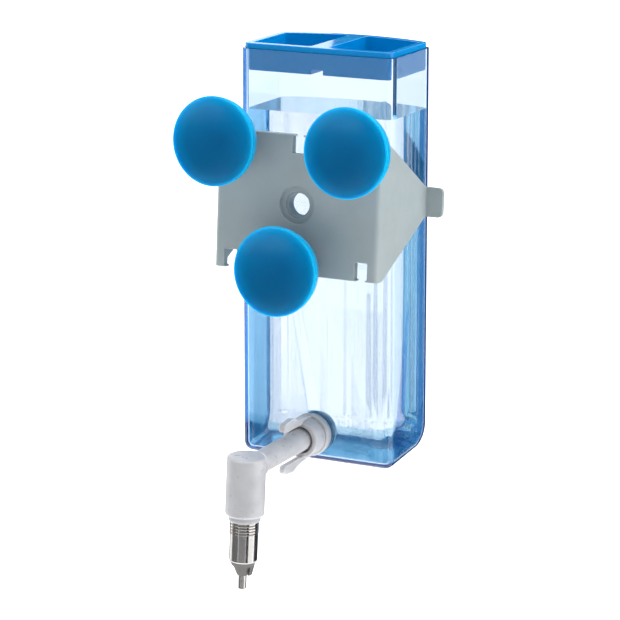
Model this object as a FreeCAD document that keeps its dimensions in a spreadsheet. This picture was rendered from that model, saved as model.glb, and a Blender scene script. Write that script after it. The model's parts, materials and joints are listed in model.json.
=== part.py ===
"""Rabbit water bottle: a clear tank that hangs in a suction-cup bracket and feeds a nipple.

Origin: the axis of the bracket's bolt hole, at the step inside the plate where the washer sits.
+X right, +Y from the plate towards the tank, +Z up. Millimetres.
The tank and all that it carries lean a few degrees in the bracket, about the arms' studs.
"""
import FreeCAD, Part
import math
import os
import Sketcher
from FreeCAD import Vector

doc = FreeCAD.newDocument("RabbitWaterBottle")
sheet = doc.addObject("Spreadsheet::Sheet", "Sizes")

SIZES = {
    # bracket
    "plate_width": 86.0, "plate_height": 66.2, "plate_thick": 3.8, "plate_corner": 2.5,
    "arm_length": 54.6, "arm_thick": 1.8, "arm_shoulder": 5.5, "tip_height": 14.3,
    "tab_width": 8.7, "tab_thick": 2.2, "tab_corner": 2.5,
    "slot_width": 6.4, "slot_depth": 8.9, "slot_spacing": 34.4, "lip_reach": 0.9, "lip_thick": 0.9,
    "bolt_hole_radius": 5.4, "bolt_step_radius": 6.5, "bolt_recess_radius": 9.0,
    "bolt_recess_depth": 1.5, "bolt_step_depth": 2.6, "bolt_boss_radius": 7.9, "bolt_boss_length": 8.0,
    "stud_radius": 3.6, "stud_length": 1.5, "stud_reach": 47.0,
    # suction cups
    "cup_radius": 21.2, "cup_reach": 21.4, "cup_lip": 0.8, "cup_crown": 5.5, "cup_shoulder": 10.5,
    "cup_shoulder_radius": 17.9, "cup_hollow": 9.5, "cup_neck_radius": 3.1,
    "cup_crown_curve": 20.0, "cup_skirt_curve": 21.2, "cup_dish_curve": 28.0,
    "cup_collar_radius": 6.5, "cup_head_radius": 5.2, "cup_head_top_radius": 3.8,
    "cup_head_edge": 1.0, "cup_head_thick": 3.6, "cup_play": 0.1, "cup_height": 29.1,
    # tank
    "tank_width": 80.8, "tank_depth": 42.6, "tank_bulge": 8.7, "tank_height": 200.0, "tank_wall": 2.8,
    "tank_corner": 5.0, "bottom_round": 4.6, "back_round": 12.0, "bottom_slope": 0.09,
    "dimple_depth": 1.5, "dimple_play": 0.08, "tank_lean": 4.45, "plate_gap": 19.2,
    "hanging_height": 131.0, "overrun": 1.0,
    # lid
    "lid_inset": 1.3, "lid_flange": 2.6, "skirt_inset": 3.1, "skirt_depth": 10.5, "lid_wall": 1.8,
    "bar_width": 9.6, "bar_notch": 2.5,
    # outlet through the tank's front wall
    "outlet_height": 15.3, "boss_radius": 10.7, "boss_thick": 1.8, "outlet_hole_radius": 6.9,
    "gasket_radius": 9.8, "gasket_thick": 2.0, "washer_radius": 9.9, "washer_thick": 2.0,
    "tube_flange_radius": 9.4, "tube_flange_thick": 2.5, "thread_radius": 6.6, "thread_end": 13.0,
    "tube_radius": 5.45, "tube_bore_radius": 3.2, "tube_end": 65.2, "tube_bevel": 0.4,
    "nut_bore_radius": 6.68, "nut_flange_radius": 10.4, "nut_flange_thick": 3.2, "nut_radius": 9.2,
    "nut_length": 12.2, "nut_bevel": 0.8, "nut_flange_bevel": 0.6, "ear_thick": 3.0,
    "ear_tip": 35.0, "ear_inner": 8.2, "ear_outer": 13.2, "ear_tip_outer": 12.3, "ear_crest": 9.0,
    "ear_waist": 11.0, "ear_waist_place": 2.0, "ear_root": 9.8, "ear_sunk": 0.2, "ear_round": 1.9,
    # head and nipple, measured down from the outlet's axis
    "head_reach": 71.0, "head_lean": 2.6, "head_radius": 9.2, "head_top": 6.9, "head_bottom": 20.9,
    "head_round": 1.2, "neck_bevel": 1.2, "neck_radius": 7.6, "neck_bottom": 24.2, "socket_radius": 5.5,
    "socket_collar_radius": 6.4, "socket_collar_end": 60.2, "socket_end": 65.5,
    "chamber_radius": 5.0, "chamber_top": 4.9, "nipple_seat": 11.5, "nipple_hole_radius": 6.95,
    "nipple_washer_thick": 1.5, "nipple_washer_radius": 6.55, "nipple_thread_radius": 6.85,
    "thread_pitch": 1.4, "thread_bevel": 0.8, "thread_flat": 0.15, "groove_rim_radius": 7.15,
    "thread_root_radius": 6.1, "thread_rings": 12, "thread_bottom": 30.5,
    "nipple_radius": 6.65, "nipple_bottom": 43.5,
    "ring_radius": 5.3, "ring_bottom": 46.4, "cone_radius": 4.7, "cone_tip_radius": 2.75,
    "cone_bottom": 51.2, "guard_bottom": 50.8, "guard_radius": 4.5, "guard_wall": 0.7,
    "guard_root_radius": 6.15, "guard_seat_radius": 4.3, "guard_seat_height": 1.0,
    "guard_back_angle": 110.0, "guard_front_angle": 22.0,
    "cap_bore_radius": 5.2, "cap_thick": 2.0, "cap_hole_radius": 1.1, "cap_hole_circle": 2.9,
    "cap_holes": 6, "spring_bore_radius": 4.3,
    "seal_seat": 36.0, "seal_thick": 2.0, "seal_hole_radius": 2.35, "stem_hole_radius": 2.3,
    "pin_radius": 2.0, "pin_bevel": 0.25, "pin_head_radius": 3.4, "pin_head_thick": 1.7,
    "pin_bottom": 58.2,
    "spring_radius": 3.3, "spring_wire": 0.6, "spring_turns": 6, "spring_gap": 0.05,
    "swivel_groove_radius": 4.1, "swivel_ring_wire": 0.66, "swivel_place": 63.4, "swivel_play": 0.1,
}
for row, (alias, number) in enumerate(SIZES.items(), 1):
    sheet.set(f"A{row}", alias)
    sheet.set(f"B{row}", str(number))
    sheet.setAlias(f"B{row}", alias)
doc.recompute()

# Where each group of pieces stands: the bracket with its bolt seat at the origin, the tank in
# the bracket, and the head on the tank's outlet.
BRACKET = "placement(vector(0; -bolt_step_depth; 0); rotation(vector(1; 0; 0); 0))"
TANK = BRACKET + (" * placement(vector(0; plate_gap * cos(tank_lean) + hanging_height * sin(tank_lean);"
                  " plate_gap * sin(tank_lean) - hanging_height * cos(tank_lean));"
                  " rotation(vector(1; 0; 0); tank_lean))")
OUTLET = TANK + " * placement(vector(0; 0; outlet_height); rotation(vector(1; 0; 0); 0))"
HEAD = TANK + (" * placement(vector(0; -head_reach; outlet_height);"
               " rotation(vector(0; 1; 0); head_lean))")


def bound(text):
    """The same expression, with each alias read from the sheet."""
    words = sorted(SIZES, key=len, reverse=True)
    out, at = "", 0
    while at < len(text):
        word = next((w for w in words if text.startswith(w, at)), None)
        out += "Sizes." + word if word else text[at]
        at += len(word) if word else 1
    return out


def value(text):
    """The number that an expression in the sheet's aliases comes to."""
    return float(sheet.evalExpression(bound(str(text))))


def tie(thing, **expressions):
    for name, text in expressions.items():
        thing.setExpression(name, bound(str(text)))
    return thing


def place(thing, label, where=None):
    thing.Label = label
    if where:
        thing.setExpression("Placement", bound(where))
    return thing


# ---- sketches and features ----------------------------------------------------------------

def new_body(name):
    return doc.addObject("PartDesign::Body", name + "_body")


def new_sketch(body, plane, offset=None):
    sketch = body.newObject("Sketcher::SketchObject", "Sketch")
    origin_plane = next(f for f in body.Origin.OriginFeatures if f.Role == plane)
    sketch.AttachmentSupport = [(origin_plane, "")]
    sketch.MapMode = "FlatFace"
    if offset:
        sketch.setExpression("AttachmentOffset.Base.z", bound(offset))
    return sketch


def arc_between(start, end, radius):
    """Arc from start to end; a positive radius bulges to the right of the way travelled."""
    chord = end - start
    half = chord.Length / 2
    left = Vector(-chord.y, chord.x, 0).normalize()
    side = 1 if radius > 0 else -1
    centre = (start + end) * 0.5 + left * side * math.sqrt(radius ** 2 - half ** 2)
    first, last = (start, end) if side > 0 else (end, start)
    angles = [math.atan2(p.y - centre.y, p.x - centre.x) for p in (first, last)]
    circle = Part.Circle(centre, Vector(0, 0, 1), abs(radius))
    return Part.ArcOfCircle(circle, *angles), ((1, 2) if side > 0 else (2, 1))


def outline(sketch, corners):
    """Closed outline. A corner is (x, y), or (x, y, radius) where an arc leads to the next one."""
    first = sketch.GeometryCount
    points = [Vector(value(c[0]), value(c[1]), 0) for c in corners]
    ends = []
    for i, corner in enumerate(corners):
        start, end = points[i], points[(i + 1) % len(points)]
        if len(corner) == 3:
            edge, order = arc_between(start, end, value(corner[2]))
        else:
            edge, order = Part.LineSegment(start, end), (1, 2)
        sketch.addGeometry(edge, False)
        ends.append(order)
    for i in range(len(corners)):
        after = (i + 1) % len(corners)
        joined = ("Coincident", first + i, ends[i][1], first + after, ends[after][0])
        sketch.addConstraint(Sketcher.Constraint(*joined))
    for i, corner in enumerate(corners):
        for kind, text, axis in (("DistanceX", corner[0], -2), ("DistanceY", corner[1], -1)):
            if value(text) == 0:
                on_axis = ("PointOnObject", first + i, ends[i][0], axis)
                sketch.addConstraint(Sketcher.Constraint(*on_axis))
            else:
                distance = (kind, -1, 1, first + i, ends[i][0], value(text))
                number = sketch.addConstraint(Sketcher.Constraint(*distance))
                sketch.setExpression(f"Constraints[{number}]", bound(str(text)))
        if len(corner) == 3:
            radius = ("Radius", first + i, abs(value(corner[2])))
            number = sketch.addConstraint(Sketcher.Constraint(*radius))
            sketch.setExpression(f"Constraints[{number}]", bound(f"abs({corner[2]})"))
    return sketch


def circle(sketch, x, y, radius):
    edge = sketch.addGeometry(Part.Circle(Vector(value(x), value(y), 0), Vector(0, 0, 1),
                                          value(radius)), False)
    number = sketch.addConstraint(Sketcher.Constraint("Radius", edge, value(radius)))
    sketch.setExpression(f"Constraints[{number}]", bound(str(radius)))
    for kind, text, axis in (("DistanceX", x, -2), ("DistanceY", y, -1)):
        if value(text) == 0:
            sketch.addConstraint(Sketcher.Constraint("PointOnObject", edge, 3, axis))
        else:
            number = sketch.addConstraint(Sketcher.Constraint(kind, -1, 1, edge, 3, value(text)))
            sketch.setExpression(f"Constraints[{number}]", bound(str(text)))
    return sketch


def grow(body, sketch, length, both_ways=False, backwards=False):
    pad = body.newObject("PartDesign::Pad", "Pad")
    pad.Profile = sketch
    pad.Midplane = both_ways
    pad.Reversed = backwards
    return checked(tie(pad, Length=length), body, +1)


def cut(body, sketch, length=None, both_ways=False, backwards=False):
    """A pocket of the given length, or through everything."""
    pocket = body.newObject("PartDesign::Pocket", "Pocket")
    pocket.Profile = sketch
    pocket.Midplane = both_ways
    pocket.Reversed = backwards
    if length is None:
        pocket.Type = "ThroughAll"
    else:
        tie(pocket, Length=length)
    return checked(pocket, body, -1)


def turn(body, sketch, kind="Revolution"):
    """Spins the sketch round its own upright axis: a Revolution adds, a Groove removes."""
    feature = body.newObject("PartDesign::" + kind, kind)
    feature.Profile = sketch
    feature.ReferenceAxis = (sketch, ["V_Axis"])
    feature.Angle = 360
    return checked(feature, body, +1 if kind == "Revolution" else -1)


def checked(feature, body, way):
    """Stops the script where a feature doesn't add (+1) or remove (-1) material."""
    before = volumes.get(body.Name, 0.0)
    doc.recompute()
    volumes[body.Name] = feature.Shape.Volume
    if (feature.Shape.Volume - before) * way <= 0:
        raise RuntimeError(f"{body.Name}: {feature.Name} changed the volume the wrong way")
    return feature


volumes = {}


def edges_where(feature, test):
    """Names of the edges whose both ends and middle pass the test."""
    names = []
    for number, edge in enumerate(feature.Shape.Edges, 1):
        middle = edge.valueAt((edge.FirstParameter + edge.LastParameter) / 2)
        spots = [v.Point for v in edge.Vertexes] + [middle]
        if all(test(p) for p in spots):
            names.append(f"Edge{number}")
    return names


def soften(body, feature, edges, radius, kind="Fillet"):
    """Rounds (Fillet) or bevels (Chamfer) the named edges."""
    rounding = body.newObject("PartDesign::" + kind, kind)
    rounding.Base = (feature, edges)
    tie(rounding, **{"Radius" if kind == "Fillet" else "Size": radius})
    doc.recompute()
    if not edges or not rounding.Shape.isValid():
        raise RuntimeError(f"{body.Name}: {rounding.Name} failed")
    volumes[body.Name] = rounding.Shape.Volume
    return rounding


def near(a, b):
    return abs(a - b) < 0.01


# ---- bracket: plate, two arms with finger tabs, studs, six slots, bolt hole ------------------

def make_bracket():
    body = new_body("bracket")
    half, inner = "plate_width / 2", "(plate_width / 2 - arm_thick)"
    tab_edge, tab_face = "(plate_width / 2 + tab_width)", "(arm_length - tab_thick)"
    right = [(half, "0"), (half, tab_face), (tab_edge, tab_face), (tab_edge, "arm_length"),
             (inner, "arm_length"), (inner, "plate_thick")]
    left = [("-" + x, y) for x, y in reversed(right)]
    plan = new_sketch(body, "XY_Plane")
    outline(plan, right + left)
    shell = grow(body, plan, "plate_height", both_ways=True)

    # both arms taper in straight lines from the shoulder to the tip
    for side in ("", "-"):
        taper = new_sketch(body, "YZ_Plane")
        tip = f"{side}tip_height / 2"
        edge = f"{side}plate_height / 2"
        outline(taper, [("arm_shoulder", edge), ("arm_length - tab_thick", tip),
                        ("arm_length + overrun", tip),
                        ("arm_length + overrun", f"{side}(plate_height / 2 + overrun)"),
                        ("arm_shoulder", f"{side}(plate_height / 2 + overrun)")])
        shell = cut(body, taper, both_ways=True)

    # six slots for the cups' necks, narrower at the mouth
    slots = new_sketch(body, "XZ_Plane")
    for column in (-1, 0, 1):
        x = f"{column} * slot_spacing"
        for side in (1, -1):
            wide, lip = "slot_width / 2", "(slot_width / 2 - lip_reach)"
            mouth = f"{side} * (plate_height / 2 + overrun)"
            lips = f"{side} * (plate_height / 2 - lip_thick)"
            floor = f"{side} * (plate_height / 2 - slot_depth)"
            outline(slots, [(f"{x} - {wide}", floor), (f"{x} + {wide}", floor),
                            (f"{x} + {wide}", lips), (f"{x} + {lip}", lips), (f"{x} + {lip}", mouth),
                            (f"{x} - {lip}", mouth), (f"{x} - {lip}", lips), (f"{x} - {wide}", lips)])
    # the sketch faces -Y, so a pocket in the plate runs the other way
    shell = cut(body, slots, "plate_thick + overrun")

    boss = new_sketch(body, "XZ_Plane")
    circle(boss, "0", "0", "bolt_boss_radius")
    shell = grow(body, boss, "bolt_boss_length", backwards=True)
    for radius, depth in (("bolt_recess_radius", "bolt_recess_depth"),
                          ("bolt_step_radius", "bolt_step_depth"),
                          ("bolt_hole_radius", "bolt_boss_length + overrun")):
        hole = new_sketch(body, "XZ_Plane")
        circle(hole, "0", "0", radius)
        shell = cut(body, hole, depth)

    # a stud inside each arm, which the tank turns on
    for side in (1, -1):
        stud = new_sketch(body, "YZ_Plane", f"{side} * (plate_width / 2 - arm_thick - stud_length)")
        circle(stud, "stud_reach", "0", "stud_radius")
        shell = grow(body, stud, "stud_length + arm_thick / 2", backwards=side < 0)

    plate_half, side_half = value("plate_width / 2"), value("plate_height / 2")
    tab_half, reach = value("plate_width / 2 + tab_width"), value("arm_length")
    folds = edges_where(shell, lambda p: near(abs(p.x), plate_half) and near(p.y, 0))
    shell = soften(body, shell, folds, "plate_corner")
    tip_half, tab_start = value("tip_height / 2"), reach - value("tab_thick")
    tabs = edges_where(shell, lambda p: near(abs(p.x), tab_half) and near(abs(p.z), tip_half)
                       and p.y > tab_start - value("overrun"))
    shell = soften(body, shell, tabs, "tab_corner")
    return place(body, "bracket", BRACKET)


# ---- suction cup: moulded rubber, turned round its own axis, dish towards -Y ------------------

def make_cup(name, column, side):
    body = new_body(name)
    profile = new_sketch(body, "XY_Plane")
    behind = "(plate_thick + cup_play)"
    dome = "(cup_reach - cup_shoulder)"
    outline(profile, [
        ("cup_head_top_radius", f"{behind} + cup_head_thick"),
        ("cup_head_radius", f"{behind} + cup_head_edge"),
        ("cup_head_radius", behind),
        ("cup_neck_radius", behind),
        ("cup_neck_radius", "-cup_play"),
        ("cup_collar_radius", "-cup_play"),
        ("cup_collar_radius", "-cup_crown", "-cup_crown_curve"),
        ("cup_shoulder_radius", f"-{dome}", "-cup_skirt_curve"),
        ("cup_radius", "-cup_reach + cup_lip"),
        ("cup_radius", "-cup_reach"),
        ("cup_radius - cup_lip", "-cup_reach", "cup_dish_curve"),
        ("cup_neck_radius", "-cup_reach + cup_hollow"),
        ("0", "-cup_reach + cup_hollow"),
        ("0", f"{behind} + cup_head_thick")])
    turn(body, profile)
    spot = BRACKET + f" * placement(vector({column} * slot_spacing; 0; {side} * cup_height);"
    return place(body, name, spot + " rotation(vector(0; 1; 0); 0))")


# ---- plan of the tank and of the lid: flat front, bowed back ---------------------------------

BACK_RADIUS = "((tank_width ^ 2 / 4 + tank_bulge ^ 2) / (2 * tank_bulge))"
BACK_CENTRE = f"(tank_depth + tank_bulge - {BACK_RADIUS})"


def plan_outline(sketch, inset, left=None, right=None):
    """The tank's plan moved inwards by an inset, or only the stretch of it from left to right."""
    right = right or f"(tank_width / 2 - {inset})"
    left = left or f"(-tank_width / 2 + {inset})"
    bow = f"({BACK_RADIUS} - {inset})"
    back = "({} + sqrt({} ^ 2 - {} ^ 2))"
    return outline(sketch, [(left, inset), (right, inset),
                            (right, back.format(BACK_CENTRE, bow, right), bow),
                            (left, back.format(BACK_CENTRE, bow, left))])


def upright(feature, test):
    """Names of the edges that run straight up and pass the test."""
    names = []
    for number, edge in enumerate(feature.Shape.Edges, 1):
        a, b = edge.Vertexes[0].Point, edge.Vertexes[-1].Point
        if not near(a.z, b.z) and near(a.x, b.x) and near(a.y, b.y) and test(a):
            names.append(f"Edge{number}")
    return names


def make_tank():
    body = new_body("tank")
    plan = new_sketch(body, "XY_Plane")
    plan_outline(plan, "0")
    block = grow(body, plan, "tank_height")
    block = soften(body, block, upright(block, lambda p: near(p.y, 0)), "tank_corner")
    rise = new_sketch(body, "YZ_Plane")
    behind = "(tank_depth + tank_bulge + overrun)"
    outline(rise, [("-overrun", "-overrun * bottom_slope"), (behind, f"bottom_slope * {behind}"),
                   (behind, "-overrun"), ("-overrun", "-overrun")])
    block = cut(body, rise, both_ways=True)
    depth = value("tank_depth - overrun")
    back_edge = edges_where(block, lambda p: p.z < value("back_round") and p.y > depth)
    block = soften(body, block, back_edge, "back_round")
    front_edge = edges_where(block, lambda p: near(p.z, 0) and near(p.y, 0))
    block = soften(body, block, upright(block, lambda p: p.y > depth) + front_edge, "bottom_round")
    walls = body.newObject("PartDesign::Thickness", "Walls")
    top = next(i for i, f in enumerate(block.Shape.Faces, 1)
               if near(f.CenterOfMass.z, value("tank_height")))
    walls.Base = (block, [f"Face{top}"])
    walls.Reversed = True
    walls.Join = 0
    tie(walls, Value="tank_wall")
    checked(walls, body, -1)

    boss = new_sketch(body, "XZ_Plane")
    circle(boss, "0", "outlet_height", "boss_radius")
    grow(body, boss, "boss_thick")
    hole = new_sketch(body, "XZ_Plane", "boss_thick")
    circle(hole, "0", "outlet_height", "outlet_hole_radius")
    cut(body, hole, "boss_thick + tank_wall + overrun")
    for side in (1, -1):
        dimple = new_sketch(body, "YZ_Plane", f"{side} * tank_width / 2")
        circle(dimple, "stud_reach * cos(tank_lean) - plate_gap",
               "hanging_height - stud_reach * sin(tank_lean)", "stud_radius + dimple_play")
        cut(body, dimple, "dimple_depth", backwards=side < 0)
    return place(body, "tank", TANK)


# ---- lid: a thin moulding of two wells with a hollow bar between them -------------------------

def make_lid():
    body = new_body("lid")
    rim = new_sketch(body, "XY_Plane", "tank_height")
    plan_outline(rim, "lid_inset")
    lid = grow(body, rim, "lid_flange")
    lid = soften(body, lid, upright(lid, lambda p: True), "tank_corner - lid_inset")
    skirt = new_sketch(body, "XY_Plane", "tank_height")
    plan_outline(skirt, "skirt_inset")
    lid = grow(body, skirt, "skirt_depth", backwards=True)
    flange_low = value("tank_height + lid_flange / 2")
    lid = soften(body, lid, upright(lid, lambda p: p.z < flange_low), "tank_corner - skirt_inset")
    well_edge = "(skirt_inset + lid_wall)"
    outer = f"(tank_width / 2 - {well_edge})"
    for left, right in ((f"(-1 * {outer})", "(-bar_width / 2)"), ("(bar_width / 2)", outer)):
        well = new_sketch(body, "XY_Plane", "tank_height + lid_flange")
        plan_outline(well, well_edge, left, right)
        lid = cut(body, well, "lid_flange + skirt_depth - lid_wall")
    inside = value(f"tank_width / 2 - {well_edge}")
    wells = upright(lid, lambda p: near(abs(p.x), inside) or near(abs(p.x), value("bar_width / 2")))
    lid = soften(body, lid, wells, "lid_wall")
    hollow = new_sketch(body, "XY_Plane", "tank_height - skirt_depth")
    plan_outline(hollow, well_edge, "(lid_wall - bar_width / 2)", "(bar_width / 2 - lid_wall)")
    lid = cut(body, hollow, "lid_flange + skirt_depth - lid_wall", backwards=True)
    vent = new_sketch(body, "XZ_Plane")
    half_vent = "(bar_width / 2 - lid_wall)"
    low_edge, high_edge = "(tank_height - skirt_depth)", "(tank_height - skirt_depth + bar_notch)"
    outline(vent, [(f"-1 * {half_vent}", f"{low_edge} - overrun"), (half_vent, f"{low_edge} - overrun"),
                   (half_vent, high_edge), (f"-1 * {half_vent}", high_edge)])
    cut(body, vent, "tank_depth / 2")
    return place(body, "lid", TANK)


# ---- outlet: all turned round the Y axis, y = 0 at the tank's front face ----------------------

def turned(name, where, corners):
    """A piece turned round the Y axis from the outline of its half section."""
    body = new_body(name)
    profile = new_sketch(body, "XY_Plane")
    outline(profile, corners)
    turn(body, profile)
    return place(body, name, where)


def ring(name, where, inner, outer, near_end, far_end):
    return turned(name, where, [(inner, near_end), (outer, near_end), (outer, far_end), (inner, far_end)])


def make_outlet_tube():
    back = "(tank_wall + gasket_thick + tube_flange_thick)"
    gasket = "(tank_wall + gasket_thick)"
    groove = "(-swivel_place - swivel_ring_wire - swivel_play)"
    groove_back = f"({groove} + 2 * swivel_ring_wire + 2 * swivel_play)"
    return turned("outlet_tube", OUTLET, [
        ("tube_bore_radius", "-tube_end"), ("tube_radius - tube_bevel", "-tube_end"),
        ("tube_radius", "-tube_end + tube_bevel"), ("tube_radius", groove),
        ("swivel_groove_radius", groove), ("swivel_groove_radius", groove_back),
        ("tube_radius", groove_back),
        ("tube_radius", "-thread_end - tube_bevel"), ("thread_radius", "-thread_end"),
        ("thread_radius", gasket), ("tube_flange_radius", gasket), ("tube_flange_radius", back),
        ("tube_bore_radius", back)])


def make_swivel_ring():
    donut = doc.addObject("Part::Torus", "swivel_ring_torus")
    tie(donut, Radius1="swivel_groove_radius + swivel_ring_wire", Radius2="swivel_ring_wire")
    spot = " * placement(vector(0; -swivel_place; 0); rotation(vector(1; 0; 0); 90))"
    return place(donut, "swivel_ring", OUTLET + spot)


def make_wing_nut():
    body = new_body("wing_nut")
    start = "(-boss_thick - washer_thick)"
    front = f"({start} - nut_length)"
    profile = new_sketch(body, "XY_Plane")
    flange_front = f"({start} - nut_flange_thick)"
    outline(profile, [("nut_bore_radius", front), ("nut_radius - nut_bevel", front),
                      ("nut_radius", f"{front} + nut_bevel"), ("nut_radius", flange_front),
                      ("nut_flange_radius - nut_flange_bevel", flange_front),
                      ("nut_flange_radius", f"{flange_front} + nut_flange_bevel"),
                      ("nut_flange_radius", start), ("nut_bore_radius", start)])
    turn(body, profile)
    for side in ("", "-"):
        ear = new_sketch(body, "YZ_Plane")
        outline(ear, [(f"{flange_front} + ear_sunk", f"{side}ear_inner"),
                      ("-ear_tip", f"{side}ear_inner"), ("-ear_tip", f"{side}ear_tip_outer"),
                      ("-ear_tip + ear_crest", f"{side}ear_outer"),
                      (f"{front} - ear_waist_place", f"{side}ear_waist"),
                      (f"{flange_front} + ear_sunk", f"{side}ear_root")])
        nut = grow(body, ear, "ear_thick", both_ways=True)
    tip = value("-ear_tip")
    corners = []
    for name in edges_where(nut, lambda p: near(p.y, tip)):
        if near(abs(nut.Shape.getElement(name).tangentAt(0).x), 1):
            corners.append(name)
    soften(body, nut, corners, "ear_round")
    return place(body, "wing_nut", OUTLET)


# ---- head: upright, with a socket at the back for the tube and a threaded hole below -----------

def make_elbow_head():
    body = new_body("elbow_head")
    outside = new_sketch(body, "XZ_Plane")
    outline(outside, [("0", "-neck_bottom"), ("neck_radius", "-neck_bottom"),
                      ("neck_radius", "-head_bottom - neck_bevel"), ("head_radius", "-head_bottom"),
                      ("head_radius", "head_top"), ("0", "head_top")])
    head = turn(body, outside)
    collar = new_sketch(body, "XZ_Plane")
    circle(collar, "0", "0", "socket_collar_radius")
    head = grow(body, collar, "head_reach - socket_collar_end", backwards=True)
    inside = new_sketch(body, "XZ_Plane")
    outline(inside, [("0", "-neck_bottom - overrun"), ("nipple_hole_radius", "-neck_bottom - overrun"),
                     ("nipple_hole_radius", "-nipple_seat"), ("chamber_radius", "-nipple_seat"),
                     ("chamber_radius", "chamber_top"), ("0", "chamber_top")])
    head = turn(body, inside, "Groove")
    mouth = "(head_reach - socket_collar_end + overrun)"
    for radius, depth in (("socket_radius", "(head_reach - socket_end)"), ("tube_bore_radius", "0")):
        socket = new_sketch(body, "XZ_Plane", f"-1 * {mouth}")
        circle(socket, "0", "0", radius)
        head = cut(body, socket, f"{mouth} - {depth}", backwards=True)
    top = edges_where(head, lambda p: near(p.z, value("head_top")))
    soften(body, head, top, "head_round")
    return place(body, "elbow_head", HEAD)


# ---- nipple: turned round the Z axis, heights measured down from the outlet's axis --------------

def make_nipple_body():
    body = new_body("nipple_body")
    top = "(-nipple_seat - nipple_washer_thick)"
    profile = new_sketch(body, "XZ_Plane")
    outline(profile, [
        ("stem_hole_radius", "-cone_bottom"), ("cone_tip_radius", "-cone_bottom"),
        ("cone_radius", "-ring_bottom"), ("ring_radius", "-ring_bottom"),
        ("nipple_radius", "-nipple_bottom"), ("nipple_radius", "-thread_bottom"),
        ("nipple_thread_radius", "-thread_bottom"), ("nipple_thread_radius", f"{top} - thread_bevel"),
        ("nipple_thread_radius - thread_bevel", top), ("cap_bore_radius", top),
        ("cap_bore_radius", f"{top} - cap_thick"), ("spring_bore_radius", f"{top} - cap_thick"),
        ("spring_bore_radius", "-seal_seat"), ("stem_hole_radius", "-seal_seat")])
    nipple = turn(body, profile)

    # the thread, as closed grooves one below the other
    for number in range(int(value("thread_rings"))):
        low = f"(-thread_bottom + {number} * thread_pitch)"
        groove = new_sketch(body, "XZ_Plane")
        outline(groove, [("groove_rim_radius", f"{low} + thread_flat"),
                         ("groove_rim_radius", f"{low} + thread_pitch - thread_flat"),
                         ("thread_root_radius", f"{low} + thread_pitch / 2")])
        nipple = turn(body, groove, "Groove")

    # drip guard: a thin wall left standing beside the cone, on the side away from the front
    shell = new_sketch(body, "XZ_Plane")
    outline(shell, [("guard_radius - guard_wall", "-guard_bottom"), ("guard_radius", "-guard_bottom"),
                    ("guard_root_radius", "-nipple_bottom"),
                    ("guard_seat_radius", "-ring_bottom + guard_seat_height")])
    guard = body.newObject("PartDesign::Revolution", "Guard")
    guard.Profile = shell
    guard.ReferenceAxis = (shell, ["V_Axis"])
    guard.Type = "TwoAngles"
    tie(guard, Angle="guard_back_angle", Angle2="guard_front_angle")
    checked(guard, body, +1)
    return place(body, "nipple_body", HEAD)


def make_trigger_pin():
    body = new_body("trigger_pin")
    head_low = "(-seal_seat + seal_thick)"
    profile = new_sketch(body, "XZ_Plane")
    outline(profile, [("0", "-pin_bottom"), ("pin_radius - pin_bevel", "-pin_bottom"),
                      ("pin_radius", "-pin_bottom + pin_bevel"), ("pin_radius", head_low),
                      ("pin_head_radius", head_low), ("pin_head_radius", f"{head_low} + pin_head_thick"),
                      ("0", f"{head_low} + pin_head_thick")])
    turn(body, profile)
    return place(body, "trigger_pin", HEAD)


def at_height(low):
    """The head's placement, moved up its axis."""
    return HEAD + f" * placement(vector(0; 0; {low}); rotation(vector(0; 0; 1); 0))"


def upright_ring(name, inner, outer, low, high):
    tube = doc.addObject("Part::Cylinder", name + "_outside")
    tie(tube, Radius=outer, Height=f"{high} - ({low})")
    hole = doc.addObject("Part::Cylinder", name + "_hole")
    tie(hole, Radius=inner, Height=f"{high} - ({low})")
    piece = doc.addObject("Part::Cut", name + "_ring")
    piece.Base, piece.Tool = tube, hole
    return place(piece, name, at_height(low))


def make_spring_cap():
    """A disc with a circle of holes, pressed into the top of the nipple."""
    low = "(-nipple_seat - nipple_washer_thick - cap_thick)"
    disc = doc.addObject("Part::Cylinder", "spring_cap_disc")
    tie(disc, Radius="cap_bore_radius", Height="cap_thick")
    holes = []
    for number in range(int(value("cap_holes"))):
        hole = doc.addObject("Part::Cylinder", "spring_cap_hole")
        tie(hole, Radius="cap_hole_radius", Height="cap_thick")
        for axis, wave in (("x", "cos"), ("y", "sin")):
            spot = f"cap_hole_circle * {wave}({number} * 360 / cap_holes)"
            hole.setExpression("Placement.Base." + axis, bound(spot))
        holes.append(hole)
    joined = doc.addObject("Part::MultiFuse", "spring_cap_holes")
    joined.Shapes = holes
    piece = doc.addObject("Part::Cut", "spring_cap_cut")
    piece.Base, piece.Tool = disc, joined
    return place(piece, "spring_cap", at_height(low))


def make_pin_spring():
    """A round wire wound between the cap and the pin's head."""
    low = value("-seal_seat + seal_thick + pin_head_thick + spring_wire / 2 + spring_gap")
    high = value("-nipple_seat - nipple_washer_thick - cap_thick - spring_wire / 2 - spring_gap")
    helix = doc.addObject("Part::Helix", "spring_path")
    helix.Pitch = (high - low) / value("spring_turns")
    helix.Height = high - low
    tie(helix, Radius="spring_radius")
    wire = doc.addObject("Part::Circle", "spring_wire")
    tie(wire, Radius="spring_wire / 2")
    wire.Placement = FreeCAD.Placement(Vector(value("spring_radius"), 0, 0),
                                       FreeCAD.Rotation(Vector(1, 0, 0), 90))
    coil = doc.addObject("Part::Sweep", "spring_coil")
    coil.Sections = [wire]
    coil.Spine = (helix, [])
    coil.Solid = True
    coil.Frenet = True
    return place(coil, "pin_spring", at_height(low))


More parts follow.
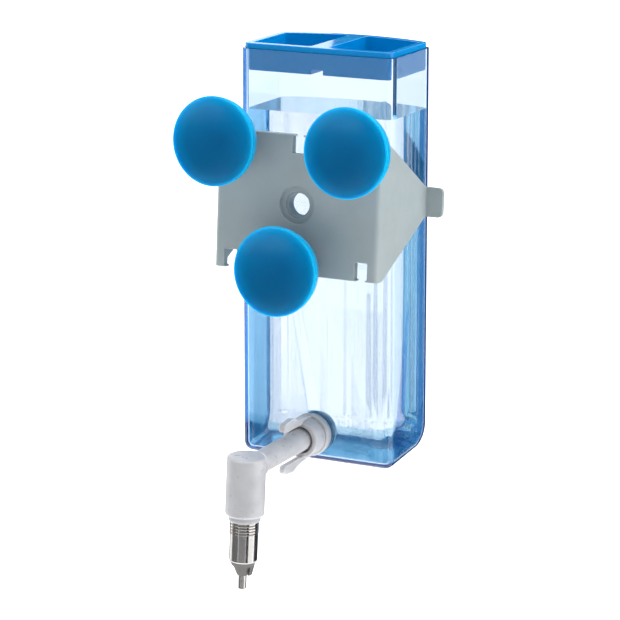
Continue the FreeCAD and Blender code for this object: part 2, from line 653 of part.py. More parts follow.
def make_all():
    pieces = [make_bracket(),
              make_cup("suction_cup_upper_left", -1, 1),
              make_cup("suction_cup_upper_right", 1, 1),
              make_cup("suction_cup_lower", 0, -1),
              make_tank(), make_lid(),
              ring("inner_gasket", OUTLET, "outlet_hole_radius", "gasket_radius",
                   "tank_wall", "tank_wall + gasket_thick"),
              make_outlet_tube(), make_swivel_ring(),
              ring("outer_washer", OUTLET, "outlet_hole_radius", "washer_radius",
                   "-boss_thick - washer_thick", "-boss_thick"),
              make_wing_nut(), make_elbow_head(), make_nipple_body(), make_trigger_pin(),
              upright_ring("nipple_washer", "chamber_radius", "nipple_washer_radius",
                           "-nipple_seat - nipple_washer_thick", "-nipple_seat"),
              upright_ring("pin_seal", "seal_hole_radius", "spring_bore_radius",
                           "-seal_seat", "-seal_seat + seal_thick"),
              make_spring_cap(), make_pin_spring()]
    doc.recompute()
    return pieces


def write_steps(pieces):
    for thing in doc.Objects:
        if "Invalid" in thing.State or "Error" in thing.State:
            raise RuntimeError(f"{thing.Name} failed: {thing.State}")
    for piece in pieces:
        if piece.Shape.isNull() or not piece.Shape.isValid():
            raise RuntimeError(f"{piece.Label} has no valid shape")
    os.makedirs("parts", exist_ok=True)
    for piece in pieces:
        piece.Shape.exportStep(f"parts/{piece.Label}.step")
        box = piece.Shape.BoundBox
        print(f"{piece.Label}: {len(piece.Shape.Solids)} solid, {piece.Shape.Volume:.0f} mm3,"
              f" x {box.XMin:.1f} {box.XMax:.1f} y {box.YMin:.1f} {box.YMax:.1f}"
              f" z {box.ZMin:.1f} {box.ZMax:.1f}")


write_steps(make_all())
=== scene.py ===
"""Rabbit water bottle: a clear tank in a suction-cup bracket, with a blue lid and a steel nipple.

Metres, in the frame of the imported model: origin at the bracket's bolt hole, +Z up, -Y forwards.
"""
import json
import math

import bmesh
import bpy
from mathutils import Matrix, Vector


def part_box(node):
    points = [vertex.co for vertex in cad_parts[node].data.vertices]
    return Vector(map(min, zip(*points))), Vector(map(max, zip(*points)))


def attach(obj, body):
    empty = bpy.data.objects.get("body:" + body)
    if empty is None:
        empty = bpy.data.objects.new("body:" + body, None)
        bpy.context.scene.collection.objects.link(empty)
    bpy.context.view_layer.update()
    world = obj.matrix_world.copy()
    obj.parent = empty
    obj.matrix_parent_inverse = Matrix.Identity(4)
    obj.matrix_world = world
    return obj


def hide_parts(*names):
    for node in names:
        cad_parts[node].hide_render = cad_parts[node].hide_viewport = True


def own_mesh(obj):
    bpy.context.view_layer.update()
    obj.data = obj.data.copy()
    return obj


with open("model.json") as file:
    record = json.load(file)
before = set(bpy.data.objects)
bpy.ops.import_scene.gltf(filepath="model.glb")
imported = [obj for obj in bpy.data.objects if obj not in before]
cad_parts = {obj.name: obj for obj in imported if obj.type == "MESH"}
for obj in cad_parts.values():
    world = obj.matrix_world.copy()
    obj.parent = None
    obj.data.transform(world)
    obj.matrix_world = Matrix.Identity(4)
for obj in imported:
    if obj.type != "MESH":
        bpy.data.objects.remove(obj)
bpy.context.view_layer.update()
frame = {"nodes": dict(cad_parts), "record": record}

# ---- studio ---------------------------------------------------------------------------------
# The bottle hangs free over a white table, in a room that is white behind it and dimmer in front.
# One soft lamp hangs above and one stands at the right. Cards that the camera never sees draw the
# stripes in the steel and the colours in the clear plastic.

scene = bpy.context.scene
scene.view_settings.view_transform = "Standard"

camera_data = bpy.data.cameras.new("camera")
camera = bpy.data.objects.new("camera", camera_data)
scene.collection.objects.link(camera)
scene.camera = camera
camera_data.sensor_width = 36.0
camera_data.lens = 166.07
camera_data.clip_start = 0.01
camera_right = Vector((0.893998, 0.446720, 0.034765))
camera_up = Vector((-0.106652, 0.136793, 0.984842))
camera_back = Vector((0.435193, -0.884154, 0.169937))
camera_place = Vector((0.59531, -1.19388, 0.17992))
camera.matrix_world = Matrix((
    (camera_right.x, camera_up.x, camera_back.x, camera_place.x),
    (camera_right.y, camera_up.y, camera_back.y, camera_place.y),
    (camera_right.z, camera_up.z, camera_back.z, camera_place.z),
    (0, 0, 0, 1)))

BEHIND_BOTTLE = (-0.42, 0.88, 0.15)
DIM_SHADE, DIM_UP_TO = (0.16, 0.17, 0.18, 1), 0.25
WHITE_SHADE, WHITE_FROM = (1.0, 1.0, 1.0, 1), 0.62
ROOM_STRENGTH = 1.5
HALF = 0.5

room = bpy.data.worlds.new("white_room")
scene.world = room
room.use_nodes = True
room_nodes, room_links = room.node_tree.nodes, room.node_tree.links
room_light = room_nodes["Background"]
facing = room_nodes.new("ShaderNodeTexCoord")
behind = room_nodes.new("ShaderNodeVectorMath")
behind.operation = "DOT_PRODUCT"
behind.inputs[1].default_value = BEHIND_BOTTLE
room_links.new(facing.outputs["Generated"], behind.inputs[0])
walls = room_nodes.new("ShaderNodeValToRGB")
walls.color_ramp.elements[0].position = DIM_UP_TO
walls.color_ramp.elements[0].color = DIM_SHADE
walls.color_ramp.elements[1].position = WHITE_FROM
walls.color_ramp.elements[1].color = WHITE_SHADE
halfway = room_nodes.new("ShaderNodeMath")
halfway.operation = "MULTIPLY_ADD"
halfway.inputs[1].default_value = HALF
halfway.inputs[2].default_value = HALF
room_links.new(behind.outputs["Value"], halfway.inputs[0])
room_links.new(halfway.outputs["Value"], walls.inputs["Fac"])
room_links.new(walls.outputs["Color"], room_light.inputs["Color"])
room_light.inputs["Strength"].default_value = ROOM_STRENGTH

BOTTLE_MIDDLE = Vector((0, 0.02, -0.03))


def lamp(name, place, size, watts):
    """A square soft lamp that points at the middle of the bottle."""
    data = bpy.data.lights.new(name, "AREA")
    data.size = size
    data.energy = watts
    thing = bpy.data.objects.new(name, data)
    scene.collection.objects.link(thing)
    thing.location = place
    thing.rotation_euler = (BOTTLE_MIDDLE - Vector(place)).to_track_quat("-Z", "Y").to_euler()


lamp("top_lamp", place=(0.1, 0.1, 1.0), size=0.7, watts=7.0)
lamp("right_lamp", place=(1.2, 0.1, 0.35), size=0.6, watts=5.0)

CARD_AWAY = 0.42
CARD_MIDDLE = -0.06
CARD_HIGH = 0.7
to_camera = Vector((camera_back.x, camera_back.y, 0)).normalized()


def paper(name, shade):
    """A plain glowing paint for a card."""
    paint = bpy.data.materials.new(name + "_paint")
    paint.use_nodes = True
    paint_shader = paint.node_tree.nodes["Principled BSDF"]
    paint_shader.inputs["Base Color"].default_value = (0, 0, 0, 1)
    paint_shader.inputs["Specular IOR Level"].default_value = 0.0
    paint_shader.inputs["Emission Color"].default_value = (*shade, 1)
    paint_shader.inputs["Emission Strength"].default_value = 1.0
    return paint


def seen_only_in(board, kind):
    """Hides a card from the camera and the lamps, so that it shows only in gloss or clear plastic."""
    board.visible_camera = False
    board.visible_diffuse = False
    board.visible_shadow = False
    board.visible_glossy = kind == "gloss"
    board.visible_transmission = kind == "clear"


def card(name, turned, half_angle, shade, kind, away=CARD_AWAY, middle=CARD_MIDDLE, high=CARD_HIGH):
    """A standing card, turned degrees to the right of the camera, that covers half_angle each way."""
    spot = Matrix.Rotation(math.radians(turned), 3, "Z") @ to_camera * away + Vector((0, 0, middle))
    bpy.ops.object.select_all(action="DESELECT")
    bpy.ops.mesh.primitive_plane_add(size=1.0, location=spot)
    board = bpy.context.object
    board.name = name
    board.scale = (2 * away * math.tan(math.radians(half_angle)), high, 1)
    board.rotation_euler = (Vector((0, 0, middle)) - spot).to_track_quat("Z", "Y").to_euler()
    board.data.materials.append(paper(name, shade))
    seen_only_in(board, kind)


for name, turned, half_angle, shade in (
        ("grey_card_front", -13, 28, (0.34, 0.34, 0.36)),
        ("dark_card_front_right", 27, 11, (0.02, 0.02, 0.022)),
        ("white_card_right", 61, 18, (1.6, 1.6, 1.6)),
        ("dark_card_back_right", 136, 43, (0.05, 0.05, 0.055)),
        ("grey_card_left", -73, 30, (0.22, 0.22, 0.23)),
        ("white_card_back_left", -120, 16, (1.6, 1.6, 1.6)),
        ("dark_card_back_left", -150, 12, (0.05, 0.05, 0.055))):
    card(name, turned, half_angle, shade, "gloss")

# a blue card at the left and a low ring of sky-blue cards, for the edges of the clear plastic
card("blue_card_left", -118, 20, (0.28, 0.48, 0.80), "clear")
SKY_BLUE = (0.25, 0.85, 1.5)
SKY_CARDS = 6
sky_turn = 360 // SKY_CARDS
for turned in range(0, 360, sky_turn):
    card(f"sky_card_{turned}", turned, sky_turn / 2, SKY_BLUE, "clear", away=0.6, middle=0.095, high=0.11)

# two bright sheets just above the table, seen only through clear plastic
TABLE_HEIGHT = -0.40
TABLE_WIDTH = 60.0
SHEET_LIFT = 0.005
for name, side, shade in (
        ("glow_card_behind", -1, (2.6, 2.0, 1.9)),
        ("glow_card_front", 1, (1.7, 1.6, 1.5))):
    heading = to_camera * side
    centre = heading * TABLE_WIDTH / 2 + Vector((0, 0, TABLE_HEIGHT + SHEET_LIFT))
    bpy.ops.object.select_all(action="DESELECT")
    bpy.ops.mesh.primitive_plane_add(size=TABLE_WIDTH, location=centre,
                                     rotation=(0, 0, math.atan2(heading.y, heading.x)))
    glow = bpy.context.object
    glow.name = name
    glow.data.materials.append(paper(name, shade))
    seen_only_in(glow, "clear")

bpy.ops.object.select_all(action="DESELECT")
bpy.ops.mesh.primitive_plane_add(size=TABLE_WIDTH, location=(0, 0, TABLE_HEIGHT))
table = bpy.context.object
table.name = "white_table"
table_paint = bpy.data.materials.new("white_table_paint")
table_paint.use_nodes = True
table_shader = table_paint.node_tree.nodes["Principled BSDF"]
table_shader.inputs["Base Color"].default_value = (0.9, 0.9, 0.9, 1)
table_shader.inputs["Roughness"].default_value = 0.9
table_shader.inputs["Emission Color"].default_value = (1, 1, 1, 1)
table_shader.inputs["Emission Strength"].default_value = 0.6
table.data.materials.append(table_paint)

# ---- bracket --------------------------------------------------------------------------------
# One injection moulding in pale grey-green plastic: a plate with six notched slots for suction
# cups, a bolt hole with a boss behind it, and two arms with finger tabs that hold the tank.


FACES_THAT_WAY = 0.99999
AREA_WEIGHT = 50
MERGE_WITHIN = 1e-6


def only(piece):
    """Selects this piece and nothing else."""
    bpy.ops.object.select_all(action="DESELECT")
    piece.select_set(True)
    bpy.context.view_layer.objects.active = piece


def smooth(piece, sharp, flat_ways=()):
    """Shades gentle bends smooth and keeps edges over sharp degrees. Walls that face one of the flat
    ways get an exact border, so that they stay true mirrors."""
    only(piece)
    bpy.ops.object.shade_smooth_by_angle(angle=math.radians(sharp))
    faces_at = {}
    for face in piece.data.polygons:
        is_flat = any(abs(face.normal.dot(way)) > FACES_THAT_WAY for way in flat_ways)
        for edge in face.edge_keys:
            faces_at.setdefault(edge, []).append(is_flat)
    for edge in piece.data.edges:
        if len(set(faces_at[edge.key])) == 2:
            edge.use_edge_sharp = True
    flatness = piece.modifiers.new("flatness", "WEIGHTED_NORMAL")
    flatness.mode = "FACE_AREA"
    flatness.weight = AREA_WEIGHT
    flatness.keep_sharp = True
    bpy.ops.object.modifier_apply(modifier="flatness")


def merged_copy(node, name, flat_within=0.1):
    """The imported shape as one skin. Faces that bend less than flat_within degrees are joined."""
    piece = bpy.data.objects.new(name, frame["nodes"][node].data.copy())
    scene.collection.objects.link(piece)
    only(piece)
    if piece.data.has_custom_normals:
        bpy.ops.mesh.customdata_custom_splitnormals_clear()
    bpy.ops.object.mode_set(mode="EDIT")
    bpy.ops.mesh.select_all(action="SELECT")
    bpy.ops.mesh.remove_doubles(threshold=MERGE_WITHIN)
    bpy.ops.mesh.dissolve_limited(angle_limit=math.radians(flat_within))
    bpy.ops.object.mode_set(mode="OBJECT")
    return piece


def rounded_copy(node, name, width, steps=2, sharp=35.0, crease=50.0):
    """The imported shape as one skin, with its edges over sharp degrees rounded as a moulding's are."""
    piece = merged_copy(node, name, flat_within=0.3)
    rounding = piece.modifiers.new("rounding", "BEVEL")
    rounding.width = width
    rounding.segments = steps
    rounding.limit_method = "ANGLE"
    rounding.angle_limit = math.radians(sharp)
    rounding.use_clamp_overlap = True
    bpy.ops.object.modifier_apply(modifier="rounding")
    smooth(piece, crease)
    return piece


class Finish:
    """A Principled material with room for pattern nodes."""

    MOST_NOISE = (0.3, 0.7)

    def __init__(self, name, **sockets):
        self.material = bpy.data.materials.new(name)
        self.material.use_nodes = True
        self.nodes = self.material.node_tree.nodes
        self.links = self.material.node_tree.links
        self.shader = self.nodes["Principled BSDF"]
        self.output = self.nodes["Material Output"]
        self.place = self.nodes.new("ShaderNodeTexCoord").outputs["Object"]
        for words, value in sockets.items():
            self.shader.inputs[words.replace("_", " ")].default_value = value

    def noise(self, grain, detail=4.0, stretch=None):
        """Soft noise with features about grain metres across."""
        pattern = self.nodes.new("ShaderNodeTexNoise")
        pattern.inputs["Scale"].default_value = 1.0 / grain
        pattern.inputs["Detail"].default_value = detail
        source = self.place
        if stretch:
            mapping = self.nodes.new("ShaderNodeMapping")
            mapping.inputs["Scale"].default_value = stretch
            self.links.new(source, mapping.inputs["Vector"])
            source = mapping.outputs["Vector"]
        self.links.new(source, pattern.inputs["Vector"])
        return pattern.outputs["Fac"]

    def ramp(self, source, stops, socket):
        """Runs a pattern through colour stops into a socket of the shader."""
        band = self.nodes.new("ShaderNodeValToRGB")
        stops_here = band.color_ramp.elements
        for number, (where, shade) in enumerate(stops):
            stop = stops_here[number] if number < 2 else stops_here.new(where)
            stop.position = where
            stop.color = (*shade, 1)
        self.links.new(source, band.inputs["Fac"])
        self.links.new(band.outputs["Color"], self.shader.inputs[socket])

    def spread(self, source, low, high, socket):
        """Runs most of a pattern's range from low to high into a number socket of the shader."""
        span = self.nodes.new("ShaderNodeMapRange")
        span.inputs["From Min"].default_value = self.MOST_NOISE[0]
        span.inputs["From Max"].default_value = self.MOST_NOISE[1]
        span.inputs["To Min"].default_value = low
        span.inputs["To Max"].default_value = high
        self.links.new(source, span.inputs["Value"])
        self.links.new(span.outputs["Result"], self.shader.inputs[socket])

    def bump(self, source, depth, strength=1.0):
        """Raises the surface by a pattern, depth metres at most."""
        relief = self.nodes.new("ShaderNodeBump")
        relief.inputs["Strength"].default_value = strength
        relief.inputs["Distance"].default_value = depth
        self.links.new(source, relief.inputs["Height"])
        self.links.new(relief.outputs["Normal"], self.shader.inputs["Normal"])


def fit(piece, finish, body, slot, *nodes):
    """Gives a finished piece its material and its body, and hides the nodes it stands for. The slot
    argument is not used.
    """
    piece.data.materials.clear()
    piece.data.materials.append(finish.material)
    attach(piece, body)
    if nodes:
        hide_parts(*nodes)


BRACKET_EDGE = 0.0003
GREY_GREENS = [(0.35, (0.30, 0.35, 0.36)), (0.65, (0.32, 0.37, 0.38))]

grey_green = Finish("grey_green_plastic", IOR=1.49, Subsurface_Weight=0.25, Subsurface_Scale=0.002)
grey_green.shader.inputs["Subsurface Radius"].default_value = (1.0, 1.0, 0.9)
grey_green.ramp(grey_green.noise(0.012, 3.0), GREY_GREENS, "Base Color")
grey_green.spread(grey_green.noise(0.004), 0.34, 0.46, "Roughness")
grey_green.bump(grey_green.noise(0.00035, 2.0), 0.00002, 0.5)

bracket = rounded_copy("bracket", "moulded_bracket", BRACKET_EDGE)
fit(bracket, grey_green, "bracket", "grey_green_plastic", "bracket")

# ---- suction cups ---------------------------------------------------------------------------
# Three cups of soft translucent blue rubber, each moulded in one piece: a thin bowl with a rolled
# rim, a solid crown, and a neck with a button that is pressed into a slot of the bracket.

CUP_BUTTON = [(0.0030, 0.0075), (0.0040, 0.00735), (0.0049, 0.0060), (0.0052, 0.0049), (0.0050, 0.0041),
              (0.0044, 0.0039), (0.0034, 0.0039)]
CUP_NECK_RADIUS = 0.0031
CUP_COLLAR_RADIUS = 0.0065
CUP_CROWN = (0.0066, -0.0055)
CUP_SHOULDER = (0.0179, -0.0109)
CUP_RIM_RADIUS = 0.0212
CUP_REACH = 0.0214
CUP_SKIRT_END = (CUP_RIM_RADIUS, -0.0204)
CUP_DISH_EDGE = (0.0205, -0.0213)
CUP_DISH_FLOOR = (0.0035, -0.0120)
CROWN_CURVE = 0.020
SKIRT_CURVE = 0.0212
DISH_CURVE = 0.028


def arc_rings(start, end, radius, count):
    """Rings, each (radius, height), along an arc from start to end, with the arc's centre to the left
    of the way, or to the right where radius is a minus."""
    first, last = Vector(start), Vector(end)
    chord = last - first
    side = Vector((chord.y, -chord.x)).normalized() * (1 if radius > 0 else -1)
    sag = math.sqrt(radius ** 2 - (chord.length / 2) ** 2)
    centre = (first + last) / 2 - side * sag
    from_centre, to_centre = first - centre, last - centre
    sweep = from_centre.angle_signed(to_centre)
    rings = []
    for step in range(1, count + 1):
        turned = Matrix.Rotation(-sweep * step / count, 2) @ from_centre
        rings.append((centre.x + turned.x, centre.y + turned.y))
    return rings


def lathe(name, rings, sides=96):
    """A solid turned round the Z axis: a circle pulled up and resized ring by ring, then capped."""
    bpy.ops.object.select_all(action="DESELECT")
    radius, height = rings[0]
    bpy.ops.mesh.primitive_circle_add(vertices=sides, radius=radius, location=(0, 0, height),
                                      fill_type="NGON")
    piece = bpy.context.object
    piece.name = name
    bpy.ops.object.transform_apply(location=True)
    bpy.ops.object.mode_set(mode="EDIT")
    bpy.ops.mesh.select_all(action="SELECT")
    for wide, level in rings[1:]:
        bpy.ops.mesh.extrude_region_move(TRANSFORM_OT_translate={"value": (0, 0, level - height)})
        bpy.ops.transform.resize(value=(wide / radius, wide / radius, 1), center_override=(0, 0, level))
        radius, height = wide, level
    bpy.ops.mesh.select_all(action="SELECT")
    bpy.ops.mesh.normals_make_consistent(inside=False)
    bpy.ops.object.mode_set(mode="OBJECT")
    return piece


cup_rings = CUP_BUTTON + [(CUP_NECK_RADIUS, 0.0036), (CUP_NECK_RADIUS, 0.0003), (0.0034, -0.0001)]
cup_rings += [(0.0060, -0.0001), (CUP_COLLAR_RADIUS, -0.0005), (CUP_COLLAR_RADIUS, -0.0050), CUP_CROWN]
cup_rings += arc_rings(CUP_CROWN, CUP_SHOULDER, -CROWN_CURVE, 8)
cup_rings += arc_rings(CUP_SHOULDER, CUP_SKIRT_END, -SKIRT_CURVE, 8)
cup_rings += [(CUP_RIM_RADIUS, -0.0210), (0.0211, -0.0213), (0.0208, -CUP_REACH), CUP_DISH_EDGE]
cup_rings += arc_rings(CUP_DISH_EDGE, CUP_DISH_FLOOR, DISH_CURVE, 14)
cup_rings += [(0.0020, -0.0118), (0.0006, -0.01175)]

# deep blue where the rubber is thick; the paleness towards the thin rim is painted light shining through
# the rubber
CUP_BLUES = [(0.0, (0.0, 0.14, 0.33)), (0.75, (0.0, 0.18, 0.40)), (0.93, (0.0, 0.25, 0.50)),
             (1.0, (0.0, 0.35, 0.62))]
CUP_BACK = -0.006
THICK_BACK = 0.3

blue_rubber = Finish("blue_rubber", IOR=1.5, Subsurface_Weight=1.0, Subsurface_Scale=0.004,
                     Specular_IOR_Level=0.15)
blue_rubber.shader.inputs["Subsurface Radius"].default_value = (0.1, 0.7, 1.0)
thinness_and_light_node = blue_rubber.nodes.new("ShaderNodeAttribute")
thinness_and_light_node.attribute_name = "thinness_and_light"
blue_rubber.ramp(thinness_and_light_node.outputs["Fac"], CUP_BLUES, "Base Color")
blue_rubber.spread(blue_rubber.noise(0.003), 0.30, 0.40, "Roughness")
blue_rubber.bump(blue_rubber.noise(0.0006, 2.0), 0.00001, 0.4)

cup_model = lathe("cup_model", cup_rings)
thinness_and_light = cup_model.data.attributes.new("thinness_and_light", "FLOAT", "POINT")
# the mark grows from the axis to the rim on the dish side, so the painted light through the thin rubber
# is strongest at the rim
for number, point in enumerate(cup_model.data.vertices):
    from_axis = math.hypot(point.co.x, point.co.y) / CUP_RIM_RADIUS
    thinness_and_light.data[number].value = from_axis if point.co.z < CUP_BACK else THICK_BACK
only(cup_model)
bpy.ops.object.shade_smooth_by_angle(angle=math.radians(50))

for place in ("upper_left", "upper_right", "lower"):
    low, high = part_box("suction_cup_" + place)
    cup = bpy.data.objects.new("rubber_cup_" + place, cup_model.data.copy())
    scene.collection.objects.link(cup)
    only(cup)
    cup.rotation_euler = (math.radians(-90), 0, 0)
    cup.location = ((low.x + high.x) / 2, low.y + CUP_REACH, (low.z + high.z) / 2)
    bpy.ops.object.transform_apply(location=True, rotation=True)
    fit(cup, blue_rubber, "cup_" + place, "blue_rubber", "suction_cup_" + place)
bpy.data.objects.remove(cup_model)

# ---- tank -----------------------------------------------------------------------------------
# Clear, faintly blue plastic, injection moulded with a flat front and a bowed back. Its walls
# look colourless face on and deep blue along the edges, where light runs far through them; a faint
# painted blue glow on the walls adds to that edge blue.

WATER_LEVEL = 0.171
TANK_FOOT = Vector((0, 0.02671, -0.12912))
TANK_UP = Vector((0, -0.07759, 0.99699))
PLASTIC_IOR = 1.5
WATER_IOR = 1.333
ACROSS = Vector((1, 0, 0))
TANK_WALLS = (ACROSS, TANK_UP, TANK_UP.cross(ACROSS))
FRONT_WALL_BEFORE = 0.033
FACES_BACK = 0.99
SLIVER_AREA = 1e-9
SMOOTH_BEND = math.cos(math.radians(50))
TANK_CREASE = 40.0
# the walls give off a faint painted blue glow, standing in for light that runs along the tinted plastic
# to its edges
TANK_GLOW = (0.02, 0.45, 1.0, 1)
TANK_BLUE = (0.0, 0.66, 0.96, 1)
TANK_DENSITY = 90.0


def select_cavity(piece):
    """In edit mode, selects the inner walls: all that runs on smoothly from the front wall's back."""
    skin = bmesh.from_edit_mesh(piece.data)
    skin.normal_update()
    for face in skin.faces:
        face.select = False
    start = max((face for face in skin.faces
                 if face.normal.y > FACES_BACK and face.calc_center_median().y < FRONT_WALL_BEFORE),
                key=lambda face: face.calc_area())
    waiting = [(start, start.normal.copy())]
    found = {start}
    while waiting:
        face, slope = waiting.pop()
        for edge in face.edges:
            for other in edge.link_faces:
                sliver = other.calc_area() < SLIVER_AREA
                if other not in found and (sliver or other.normal.dot(slope) > SMOOTH_BEND):
                    found.add(other)
                    waiting.append((other, slope if sliver else other.normal.copy()))
    for face in found:
        face.select = True
    skin.select_flush(True)
    bmesh.update_edit_mesh(piece.data)


tank = merged_copy("tank", "clear_tank")
bpy.ops.object.mode_set(mode="EDIT")
bpy.ops.mesh.select_mode(type="FACE")
bpy.ops.mesh.select_all(action="SELECT")
bpy.ops.mesh.bisect(plane_co=TANK_FOOT + TANK_UP * WATER_LEVEL, plane_no=TANK_UP)
select_cavity(tank)
bpy.ops.object.mode_set(mode="OBJECT")
wet = tank.data.attributes.new("wet", "FLOAT", "FACE")
for face in tank.data.polygons:
    level = (face.center - TANK_FOOT).dot(TANK_UP)
    wet.data[face.index].value = 1.0 if face.select and level < WATER_LEVEL else 0.0
smooth(tank, TANK_CREASE, TANK_WALLS)

clear_plastic = Finish("clear_tank_plastic", IOR=PLASTIC_IOR, Transmission_Weight=1.0, Roughness=0.0,
                       Emission_Strength=0.035)
clear_plastic.shader.inputs["Emission Color"].default_value = TANK_GLOW
clear_plastic.bump(clear_plastic.noise(0.03, 2.0), 0.0004, 0.08)
wetness = clear_plastic.nodes.new("ShaderNodeAttribute")
wetness.attribute_name = "wet"
bending = clear_plastic.nodes.new("ShaderNodeMapRange")
bending.inputs["To Min"].default_value = PLASTIC_IOR
bending.inputs["To Max"].default_value = PLASTIC_IOR / WATER_IOR
clear_plastic.links.new(wetness.outputs["Fac"], bending.inputs["Value"])
clear_plastic.links.new(bending.outputs["Result"], clear_plastic.shader.inputs["IOR"])
tank_tint = clear_plastic.nodes.new("ShaderNodeVolumeAbsorption")
tank_tint.inputs["Color"].default_value = TANK_BLUE
tank_tint.inputs["Density"].default_value = TANK_DENSITY
clear_plastic.links.new(tank_tint.outputs["Volume"], clear_plastic.output.inputs["Volume"])
fit(tank, clear_plastic, "tank", "clear_tank_plastic", "tank")

# ---- water ----------------------------------------------------------------------------------
# About half a litre, up to three centimetres below the rim. It isn't a part of the product. Light
# bends at its open surface and at the wet wall, and passes straight through its own sides.

FACES_UP = 0.999

water = merged_copy("tank", "water")
bpy.ops.object.mode_set(mode="EDIT")
bpy.ops.mesh.select_mode(type="FACE")
select_cavity(water)
bpy.ops.mesh.select_all(action="INVERT")
bpy.ops.mesh.delete(type="FACE")
bpy.ops.mesh.select_all(action="SELECT")
bpy.ops.mesh.bisect(plane_co=TANK_FOOT + TANK_UP * WATER_LEVEL, plane_no=TANK_UP, clear_outer=True)
bpy.ops.mesh.select_all(action="DESELECT")
bpy.ops.mesh.select_mode(type="EDGE")
bpy.ops.mesh.select_non_manifold(extend=False)
bpy.ops.mesh.edge_face_add()
bpy.ops.mesh.select_mode(type="FACE")
bpy.ops.mesh.select_all(action="SELECT")
bpy.ops.mesh.normals_make_consistent(inside=False)
bpy.ops.object.mode_set(mode="OBJECT")
open_surface = water.data.attributes.new("open_surface", "FLOAT", "FACE")
for face in water.data.polygons:
    open_surface.data[face.index].value = 1.0 if face.normal.dot(TANK_UP) > FACES_UP else 0.0
smooth(water, TANK_CREASE, TANK_WALLS)

clear_water = Finish("clear_water", IOR=WATER_IOR, Transmission_Weight=1.0, Roughness=0.0)
clear_water.bump(clear_water.noise(0.05, 1.0), 0.0003, 0.15)
straight_through = clear_water.nodes.new("ShaderNodeBsdfTransparent")
surface_or_side = clear_water.nodes.new("ShaderNodeMixShader")
surface_mark = clear_water.nodes.new("ShaderNodeAttribute")
surface_mark.attribute_name = "open_surface"
clear_water.links.new(surface_mark.outputs["Fac"], surface_or_side.inputs["Fac"])
clear_water.links.new(straight_through.outputs["BSDF"], surface_or_side.inputs[1])
clear_water.links.new(clear_water.shader.outputs["BSDF"], surface_or_side.inputs[2])
clear_water.links.new(surface_or_side.outputs["Shader"], clear_water.output.inputs["Surface"])
fit(water, clear_water, "tank", "clear_tank_plastic")

# ---- lid ------------------------------------------------------------------------------------
# One thin blue moulding that plugs the tank: a flange that lies on the rim, a skirt that goes
# inside it, two open wells and a hollow bar between them for the fingers.

LID_EDGE = 0.0004
LID_BLUES = [(0.3, (0.0, 0.19, 0.48)), (0.7, (0.0, 0.21, 0.52))]
# the lid gives off a painted blue glow, standing in for lamp light that scatters through its thin walls
# into the skirt
LID_GLOW = (0.0, 0.25, 0.55, 1)

blue_plastic = Finish("blue_lid_plastic", IOR=1.5, Subsurface_Weight=0.6, Subsurface_Scale=0.002,
                      Emission_Strength=0.25)
blue_plastic.shader.inputs["Emission Color"].default_value = LID_GLOW
blue_plastic.shader.inputs["Subsurface Radius"].default_value = (0.1, 0.6, 1.0)
blue_plastic.ramp(blue_plastic.noise(0.015, 2.0), LID_BLUES, "Base Color")
blue_plastic.spread(blue_plastic.noise(0.005), 0.06, 0.12, "Roughness")
blue_plastic.bump(blue_plastic.noise(0.0008, 2.0), 0.00001, 0.3)

lid = rounded_copy("lid", "blue_lid", LID_EDGE)
fit(lid, blue_plastic, "lid", "blue_lid_plastic", "lid")

# ---- outlet ---------------------------------------------------------------------------------
# A milky polypropylene tube with a flange and a soft gasket inside the tank, held by a wing nut on
# a flat washer outside. The head at its end turns on a rubber ring.

NUT_EDGE = 0.0004
HEAD_EDGE = 0.0003
MILKY_WHITES = [(0.35, (0.43, 0.43, 0.45)), (0.65, (0.48, 0.48, 0.50))]
RUBBER_BLACKS = [(0.3, (0.018, 0.018, 0.02)), (0.7, (0.03, 0.03, 0.033))]

milky = Finish("white_translucent_plastic", IOR=1.49, Subsurface_Weight=0.9, Subsurface_Scale=0.004)
milky.shader.inputs["Subsurface Radius"].default_value = (1.0, 1.0, 1.0)
milky.ramp(milky.noise(0.008, 3.0), MILKY_WHITES, "Base Color")
milky.spread(milky.noise(0.003), 0.26, 0.36, "Roughness")
milky.bump(milky.noise(0.0015, 2.0), 0.00001, 0.2)

dark_rubber = Finish("dark_rubber", IOR=1.5)
dark_rubber.ramp(dark_rubber.noise(0.002), RUBBER_BLACKS, "Base Color")
dark_rubber.spread(dark_rubber.noise(0.001), 0.5, 0.7, "Roughness")
dark_rubber.bump(dark_rubber.noise(0.0003), 0.00002, 0.5)

nut = rounded_copy("wing_nut", "moulded_wing_nut", NUT_EDGE)
fit(nut, milky, "wing_nut", "white_translucent_plastic", "wing_nut")
head = rounded_copy("elbow_head", "moulded_head", HEAD_EDGE)
fit(head, milky, "head", "white_translucent_plastic", "elbow_head")

# ---- nipple ---------------------------------------------------------------------------------
# Turned stainless steel with a cut thread, a drip guard and a bead-blasted cone. A steel pin hangs
# out of the cone, and a small spring inside holds the pin's head on its seal.

STEEL_GREYS = [(0.3, (0.48, 0.465, 0.45)), (0.7, (0.58, 0.565, 0.55))]
BLASTED_GREYS = [(0.09, (0.48, 0.465, 0.45)), (0.21, (0.58, 0.565, 0.55)), (0.6, (0.15, 0.145, 0.14))]
HEAD_CENTRE = Vector((0, -0.04527, -0.11937))
HEAD_DOWN = Vector((-0.04536, 0.07751, -0.99596))
CONE_TOP = 0.0440
CONE_BLEND = 0.0002
MOTTLE = 0.3
SPRING_CREASE = 50.0

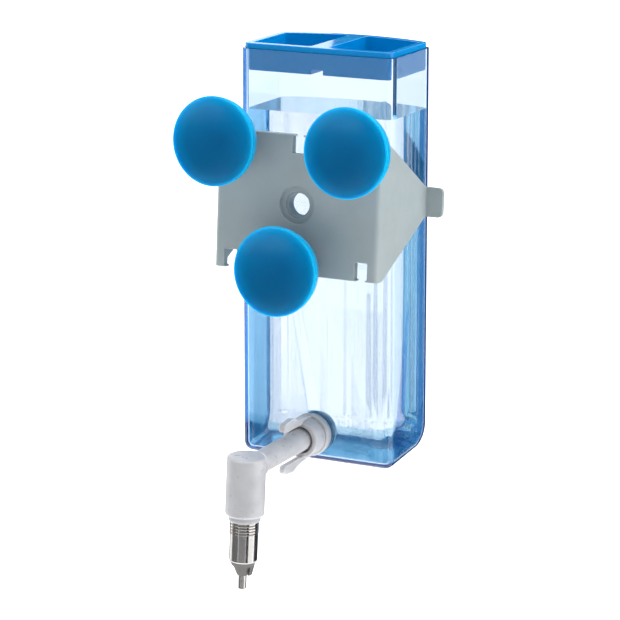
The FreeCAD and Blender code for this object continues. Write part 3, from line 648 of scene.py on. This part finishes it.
steel = Finish("stainless_steel", Metallic=1.0)
steel.ramp(steel.noise(0.004, 3.0, (1, 1, 4)), STEEL_GREYS, "Base Color")
steel.spread(steel.noise(0.002, 4.0, (1, 1, 8)), 0.12, 0.24, "Roughness")
steel.bump(steel.noise(0.0012, 4.0, (0.3, 0.3, 6)), 0.00002, 0.25)

blasted_steel = Finish("turned_and_blasted_steel", Metallic=1.0)
depth = blasted_steel.nodes.new("ShaderNodeVectorMath")
depth.operation = "DOT_PRODUCT"
depth.inputs[1].default_value = HEAD_DOWN
blasted_steel.links.new(blasted_steel.place, depth.inputs[0])
cone = blasted_steel.nodes.new("ShaderNodeMapRange")
cone.inputs["From Min"].default_value = HEAD_DOWN.dot(HEAD_CENTRE) + CONE_TOP
cone.inputs["From Max"].default_value = HEAD_DOWN.dot(HEAD_CENTRE) + CONE_TOP + CONE_BLEND
blasted_steel.links.new(depth.outputs["Value"], cone.inputs["Value"])
mottle = blasted_steel.nodes.new("ShaderNodeMath")
mottle.operation = "MULTIPLY_ADD"
mottle.inputs[1].default_value = MOTTLE
blasted_steel.links.new(blasted_steel.noise(0.002, 4.0, (1, 1, 5)), mottle.inputs[0])
blasted_steel.links.new(cone.outputs["Result"], mottle.inputs[2])
blasted_steel.ramp(mottle.outputs["Value"], BLASTED_GREYS, "Base Color")
blasted_steel.spread(mottle.outputs["Value"], 0.16, 0.50, "Roughness")
blasted_steel.bump(blasted_steel.noise(0.0006, 3.0), 0.00004, 0.35)

spring = merged_copy("pin_spring", "nipple_spring")
smooth(spring, SPRING_CREASE)
fit(spring, steel, "head", "stainless_steel", "pin_spring")
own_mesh(spring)

# the pieces with no mesh of their own here show as packed, each in its own finish
finishes = {"white_translucent_plastic": milky, "dark_rubber": dark_rubber, "stainless_steel": steel,
            "grey_green_plastic": grey_green, "blue_rubber": blue_rubber,
            "clear_tank_plastic": clear_plastic, "blue_lid_plastic": blue_plastic}
for part in frame["record"]["subparts"]:
    node = frame["nodes"][part["node"]]
    node.data.materials.clear()
    finish = blasted_steel if part["node"] == "nipple_body" else finishes[part["material_slot"]]
    node.data.materials.append(finish.material)
